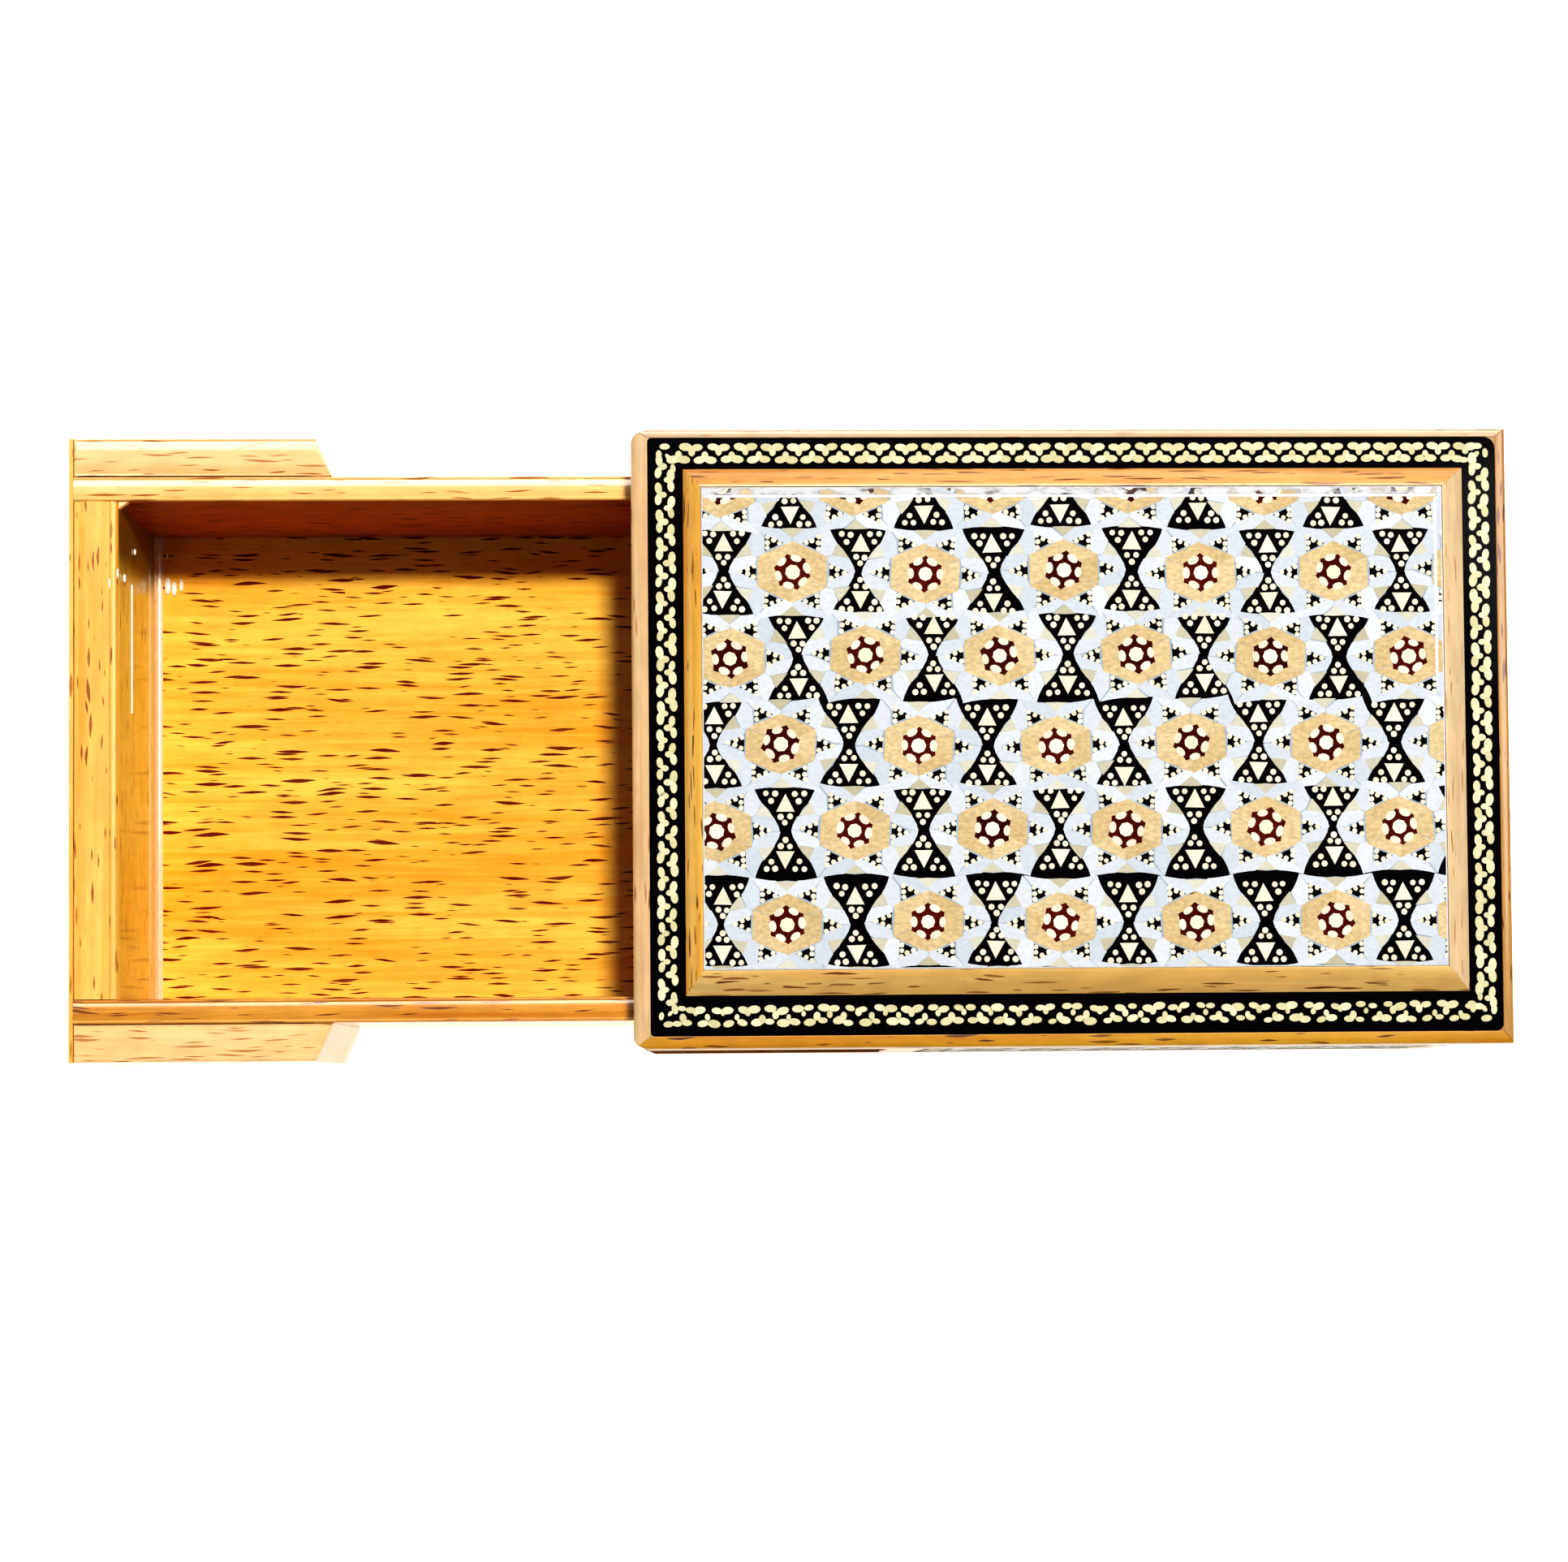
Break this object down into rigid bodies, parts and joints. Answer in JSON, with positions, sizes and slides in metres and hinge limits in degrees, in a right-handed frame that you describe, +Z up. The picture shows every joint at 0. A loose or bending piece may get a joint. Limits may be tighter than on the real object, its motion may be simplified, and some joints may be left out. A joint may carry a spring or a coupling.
{
  "type": "inlaid wooden card box",
  "caption": "Low wooden box for playing cards with a star-marquetry top in a bevelled frame and an end drawer with side cheeks as grips.",
  "frame": {"origin": "centre of the underside of the case, on the surface that the box stands on", "axes": "+Z up, -X towards the mouth that the drawer comes out of, +X towards the closed back, +Y to the left of someone who faces the mouth from outside"},
  "size_m": [0.19, 0.0832, 0.04],
  "materials": {
    "beech": "lacquered beech with short brown flecks, satin gloss",
    "core_wood": "plain hidden core board, matt",
    "golden_beech": "golden beech board with dark flecks along the grain, satin gloss",
    "khatam_border": "black marquetry band with a chain of bone-coloured ovals, high-gloss lacquer",
    "khatam_stars": "six-pointed star marquetry in black, bone, tan and pearly white, high-gloss lacquer",
    "pale_beech": "pale lacquered beech, satin gloss",
    "warm_beech": "warm orange-toned lacquered beech, satin gloss"
  },
  "bodies": {
    "case": {"back_inlay": "khatam_stars", "base_lipping_back": "beech", "base_lipping_left": "beech", "base_lipping_mouth": "beech", "base_lipping_right": "beech", "border_inlay_back": "khatam_border", "border_inlay_left": "khatam_border", "border_inlay_mouth": "khatam_border", "border_inlay_right": "khatam_border", "case_back_wall": "beech", "case_bottom_board": "golden_beech", "case_roof_board": "core_wood", "case_side_left": "beech", "case_side_right": "beech", "panel_core": "core_wood", "panel_inlay": "khatam_stars", "panel_moulding_back": "warm_beech", "panel_moulding_left": "warm_beech", "panel_moulding_mouth": "warm_beech", "panel_moulding_right": "warm_beech", "side_inlay_left": "khatam_stars", "side_inlay_right": "khatam_stars", "top_lipping_back": "beech", "top_lipping_left": "pale_beech", "top_lipping_mouth": "pale_beech", "top_lipping_right": "warm_beech"},
    "drawer": {"cheek_left": "pale_beech", "cheek_right": "pale_beech", "drawer_back": "beech", "drawer_bottom": "golden_beech", "drawer_front": "warm_beech", "drawer_side_left": "pale_beech", "drawer_side_right": "pale_beech", "front_frame_bottom": "warm_beech", "front_frame_left": "warm_beech", "front_frame_right": "warm_beech", "front_frame_top": "warm_beech", "front_inlay": "khatam_border"}
  },
  "joints": [
    {"name": "drawer_slide", "type": "slide", "parent": "case", "child": "drawer", "axis": [-1, 0, 0], "range_m": [-0.075, 0.036]}
  ]
}
